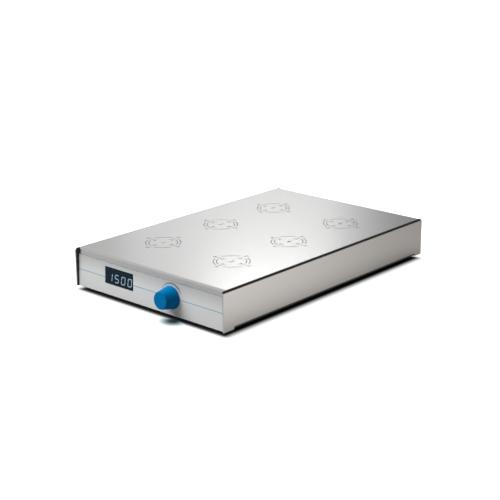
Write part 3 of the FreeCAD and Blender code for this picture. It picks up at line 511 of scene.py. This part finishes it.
SCALE_INK = flat_ink("scale ink", (0.08, 0.085, 0.09), (0.12, 0.125, 0.13), (0.45, 0.6))
MARK_INK = flat_ink("rocker ink", (0.7, 0.7, 0.7), (0.78, 0.78, 0.78), (0.45, 0.6))
DIGIT_GLOW = glowing("digit glow", (0.25, 0.35, 0.46), (0.33, 0.43, 0.54))

# The side panels are brushed from front to back, the cover from left to right.
for subpart in frame["record"]["subparts"]:
    piece = nodes[subpart["node"]]
    side = piece.name.startswith("side_panel")
    piece.data.materials.clear()
    piece.data.materials.append(SIDE_STEEL if side else FINISHES[subpart["material_slot"]])


# Prints, and painted shade for small recesses.

def mark_stations():
    """A broken ring, two inner arcs and four footed ticks about each station, and its number inside."""
    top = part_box("cover")[1].z
    for station, number in STATION_NUMBERS.items():
        axis = middle(f"rotor_{station}")
        place = Matrix.Translation((axis.x, axis.y, top))
        marks = []
        for quarter in range(4):
            start = quarter * math.pi / 2
            for radius in [RING_OUTER] if quarter % 2 else [RING_OUTER, RING_INNER]:
                marks.append(arc(radius, RING_LINE, start + RING_GAP, start + math.pi / 2 - RING_GAP))
            ahead = np.array([math.cos(start), math.sin(start)])
            aside = np.array([-ahead[1], ahead[0]]) * TICK_FOOT / 2
            marks.append(bar(ahead * TICK_START, ahead * TICK_END, TICK_LINE))
            for end in (TICK_START, TICK_END):
                marks.append(bar(ahead * end - aside, ahead * end + aside, RING_LINE))
        printed(f"ring_mark_{station}", marks, place, RING_INK, "case")
        name = f"ring_number_{station}"
        lettering(name, number, NUMBER_HEIGHT, place, NUMBER_INK, "case")


def print_label():
    """The thin line along the label, broken by the window and the knob's nut, and the knob's scale.

    The scale is a band about the knob's axis that widens as it goes round and narrows quickly at its end.
    """
    label_low, label_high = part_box("front_label")
    window_low, window_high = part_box("display_window")
    nut_low, nut_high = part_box("potentiometer_nut")
    runs = [
        (label_low.x, window_low.x + WINDOW_LIP),
        (window_high.x - WINDOW_LIP, nut_low.x - NUT_CLEAR),
        (nut_high.x + NUT_CLEAR, label_high.x),
    ]
    lines = [bar((start, LINE_LEVEL), (end, LINE_LEVEL), LINE_WIDTH) for start, end in runs]
    printed("label_line", lines, on_label(), LINE_INK, "case")

    def swell(v):
        share = np.clip((1 - v) / SCALE_SWELL, 0, 1) * np.clip(v / SCALE_TAPER, 0, 1)
        return SCALE_THIN + (SCALE_THICK - SCALE_THIN) * share

    axis = Matrix.Translation((middle("potentiometer_nut").x, up_label("potentiometer_nut"), 0))
    scale = arc(SCALE_RADIUS, swell, SCALE_END, SCALE_START, steps=64)
    printed("knob_scale", [scale], on_label() @ axis, SCALE_INK, "case")


def light_digits():
    """The reading on the display: pointed bars, slanted to the right, low and right in the window."""
    low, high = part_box("display_window")
    right = high.x - WINDOW_LIP - DIGIT_RIGHT - DIGIT_WIDTH
    foot = up_label("display_window") - (high.z - low.z) / 2 + WINDOW_LIP + DIGIT_LOW
    wide, tall, half = DIGIT_WIDTH, DIGIT_HEIGHT, DIGIT_HEIGHT / 2
    ends = {
        "a": ((0, tall), (wide, tall)),
        "b": ((wide, tall), (wide, half)),
        "c": ((wide, half), (wide, 0)),
        "d": ((0, 0), (wide, 0)),
        "e": ((0, half), (0, 0)),
        "f": ((0, tall), (0, half)),
        "g": ((0, half), (wide, half)),
    }
    bars = []
    for index, figure in enumerate(READING):
        for letter in LIT_BARS[figure]:
            start, end = (np.array(point) for point in ends[letter])
            inset = (end - start) / np.linalg.norm(end - start) * DIGIT_GAP
            points, quads = bar(start + inset, end - inset, DIGIT_STROKE, pointed=True)
            points[:, 0] += (index - len(READING) + 1) * DIGIT_PITCH + points[:, 1] * DIGIT_SLANT
            bars.append((points, quads))
    place = on_label() @ Matrix.Translation((right, foot, -WINDOW_SINK))
    printed("display_digits", bars, place, DIGIT_GLOW, "case")


def rear_faces(node):
    """The flat faces of a node that look to the rear, from the top down: the middle and normal of each.

    Triangles with the same normal are one face, and its middle is the mean of theirs by area.
    """
    polygons = nodes[node].data.polygons
    normals, centres = np.empty((2, len(polygons) * 3), dtype=np.float32)
    areas = np.empty(len(polygons), dtype=np.float32)
    polygons.foreach_get("normal", normals)
    polygons.foreach_get("center", centres)
    polygons.foreach_get("area", areas)
    normals, centres = normals.reshape(-1, 3), centres.reshape(-1, 3)
    rear = normals[:, 1] > REAR_FACING
    found = []
    for normal in np.unique(normals[rear].round(2), axis=0):
        alike = rear & (normals.round(2) == normal).all(axis=1)
        centre = np.average(centres[alike], axis=0, weights=areas[alike])
        found.append((Vector(centre), Vector(normals[alike][0])))
    return sorted(found, key=lambda face: -face[0].z)


def mark_rocker():
    """A line on the rocker's upper half for on, and a ring on its lower half for off."""
    on = bar((0, -MARK_SIZE / 2), (0, MARK_SIZE / 2), MARK_LINE)
    off = arc(MARK_SIZE / 2, MARK_LINE, 0, 2 * math.pi, steps=33)
    faces = rear_faces("switch_rocker")
    right = Vector((-1, 0, 0))
    for name, mark, (centre, out) in (("on", on, faces[0]), ("off", off, faces[-1])):
        turn = Matrix((right, out.cross(right), out)).transposed().to_4x4()
        place = Matrix.Translation(centre) @ turn
        printed(f"rocker_{name}", [mark], place, MARK_INK, "rocker")


def cross_screws():
    """A dark cross painted on each of the inlet's two screw heads: painted shade for its cross recess."""
    low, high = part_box("inlet_screws")
    head = (high.z - low.z) / 2
    turn = Matrix(((-1, 0, 0), (0, 0, 1), (0, 1, 0))).to_4x4()
    arms = [
        bar((-CROSS_REACH, 0), (CROSS_REACH, 0), CROSS_LINE),
        bar((0, -CROSS_REACH), (0, CROSS_REACH), CROSS_LINE),
    ]
    for name, x in (("left", low.x + head), ("right", high.x - head)):
        place = Matrix.Translation((x, high.y - INK, (low.z + high.z) / 2)) @ turn
        printed(f"screw_recess_painted_shade_{name}", arms, place, RING_INK, "case")


mark_stations()
print_label()
light_digits()
mark_rocker()
cross_screws()


# The studio.

def ray_is(tree, *kinds):
    """1 for a ray of one of these kinds, otherwise 0."""
    rays = add_node(tree, "ShaderNodeLightPath").outputs
    seen = rays[kinds[0]]
    for kind in kinds[1:]:
        seen = work_out(tree, "MAXIMUM", seen, rays[kind])
    return seen


def stage_sheet(name, surface):
    """A flat piece of the stage, with the nodes, the shader and the coordinates of its dull material."""
    piece = show(bpy.data.objects.new(name, mesh_of(name, [sheet(2, 2, surface)], Matrix())))
    material = bpy.data.materials.new(name)
    material.use_nodes = True
    piece.data.materials.append(material)
    tree = material.node_tree
    shader = tree.nodes["Principled BSDF"]
    shader.inputs["Roughness"].default_value = 1.0
    shader.inputs["Specular IOR Level"].default_value = 0.0
    return piece, tree, shader, add_node(tree, "ShaderNodeTexCoord").outputs["Object"]


def lay_floor():
    """A plain pale floor: white to the camera, with a painted shadow round the case, and a painted shadow
    under the knob that a painted reflection of the blue knob tints.

    The metal sees the floor as it is lit, and a spot of painted light on the right that only the metal
    sees.
    """
    floor, tree, shader, where = stage_sheet(
        "floor", lambda u, v: (FLOOR_SIZE * (u - 0.5), FLOOR_SIZE * (v - 0.5), 0 * u))
    low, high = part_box("cover")
    half = (high - low) / 2
    edge = (half.x - SHADE_INSET, half.y - SHADE_INSET, 0)
    away = work_out_vector(tree, "SUBTRACT", work_out_vector(tree, "ABSOLUTE", where), edge)
    away = work_out_vector(tree, "MAXIMUM", away, (0, 0, 0))
    away = work_out_vector(tree, "MULTIPLY", away, (1, SHADE_TIGHTER, 0))
    reach = work_out_vector(tree, "LENGTH", away)
    below = middle("speed_knob") + Vector(KNOB_SHADE_AT)
    knob_shadow_mask = work_out_vector(tree, "DISTANCE", where, (below.x, below.y, 0))
    knob_shadow_mask = ramp(tree, knob_shadow_mask, KNOB_SHADE, smooth=True)
    clear = work_out(tree, "MINIMUM", ramp(tree, reach, FLOOR_CLEAR, smooth=True), knob_shadow_mask)
    # Painted shadow: the floor's colour is dark against the case, and under the knob it is a painted shadow
    # tinted by a painted reflection.
    tone = blend(tree, ramp(tree, reach, FLOOR_NEAR, smooth=True), FLOOR_SHADE, FLOOR_TONE)
    tree.links.new(blend(tree, knob_shadow_mask, KNOB_PAINTED_SHADOW, tone), shader.inputs["Base Color"])
    tree.links.new(blend(tree, knob_shadow_mask, KNOB_PAINTED_REFLECTION, WHITE), shader.inputs["Emission Color"])
    # Painted light: a bright spot on the floor that only glossy and transmission rays see.
    spot = work_out_vector(tree, "DISTANCE", where, PAINTED_LIGHT_SPOT)
    spot = ramp(tree, spot, PAINTED_LIGHT_REACH, high=PAINTED_LIGHT_SHARE, smooth=True)
    spot = work_out(tree, "MULTIPLY", spot, ray_is(tree, "Is Glossy Ray", "Is Transmission Ray"))
    glow = between(tree, ray_is(tree, "Is Camera Ray"), spot, clear)
    tree.links.new(glow, shader.inputs["Emission Strength"])


def hang_backdrop():
    """The world: white to the camera. Metal sees it white behind the case, dimmer overhead and in front.

    Everything else gets a soft fill from the upper left.
    """
    world = bpy.data.worlds.new("studio")
    world.use_nodes = True
    tree = world.node_tree
    background = tree.nodes["Background"]
    background.inputs["Color"].default_value = (*WHITE, 1)
    where = add_node(tree, "ShaderNodeTexCoord").outputs["Generated"]
    sweep = work_out_vector(tree, "DOT_PRODUCT", where, BACKDROP_WAY)
    sweep = ramp(tree, sweep, BACKDROP_TURN, *BACKDROP, smooth=True)
    fill = work_out_vector(tree, "DOT_PRODUCT", where, FILL_WAY)
    fill = ramp(tree, fill, FILL_TURN, *FILL)
    level = between(tree, ray_is(tree, "Is Glossy Ray", "Is Transmission Ray"), fill, sweep)
    level = between(tree, ray_is(tree, "Is Camera Ray"), level, 1.0)
    tree.links.new(level, background.inputs["Strength"])
    bpy.context.scene.world = world


def stand_flags():
    """Grey cards behind the case and to its left, seen only in the metal: they shade the ends of the top.

    A card is upright on the line between its ends: u goes along it, v up it.
    """
    for name, (start, end, height, first_glow, glow, change) in FLAGS.items():
        (x, y), (far_x, far_y) = start, end
        flag, tree, shader, where = stage_sheet(
            name, lambda u, v: (x + (far_x - x) * u, y + (far_y - y) * u, height * v))
        shader.inputs["Base Color"].default_value = (0, 0, 0, 1)
        shader.inputs["Emission Color"].default_value = (*WHITE, 1)
        ahead = (Vector(end) - Vector(start)).normalized()
        first = Vector(start).dot(ahead)
        along = work_out_vector(tree, "DOT_PRODUCT", where, (*ahead, 0))
        level = ramp(tree, along, (first, first + change), first_glow, glow)
        tree.links.new(level, shader.inputs["Emission Strength"])
        for kind in ("camera", "diffuse", "transmission", "volume_scatter", "shadow"):
            setattr(flag, f"visible_{kind}", False)


def hang_lamps():
    """Soft lamps, each facing a point."""
    for name, (place, aim, width, height, power, mirrored) in LAMPS.items():
        lamp = bpy.data.lights.new(name, "AREA")
        lamp.shape = "RECTANGLE"
        lamp.size = width
        lamp.size_y = height
        lamp.energy = power
        item = show(bpy.data.objects.new(name, lamp))
        item.location = place
        item.rotation_euler = (Vector(aim) - Vector(place)).to_track_quat("-Z", "Y").to_euler()
        item.visible_glossy = mirrored


def aim_camera():
    """The photograph's view: round and up from the case's lower middle, with its own roll and shift."""
    camera = bpy.data.cameras.new("camera")
    camera.lens = VIEW_LENS
    camera.sensor_width = VIEW_SENSOR
    camera.shift_x, camera.shift_y = VIEW_SHIFT
    item = show(bpy.data.objects.new("camera", camera))
    turn = (Matrix.Rotation(VIEW_AZIMUTH, 4, "Z") @ Matrix.Rotation(math.pi / 2 - VIEW_ELEVATION, 4, "X")
            @ Matrix.Rotation(VIEW_ROLL, 4, "Z"))
    aim = Matrix.Translation((0, 0, CASE_FOOT))
    item.matrix_world = aim @ turn @ Matrix.Translation((0, 0, VIEW_DISTANCE))
    bpy.context.scene.camera = item


lay_floor()
hang_backdrop()
stand_flags()
hang_lamps()
aim_camera()
bpy.context.scene.view_settings.view_transform = "Standard"
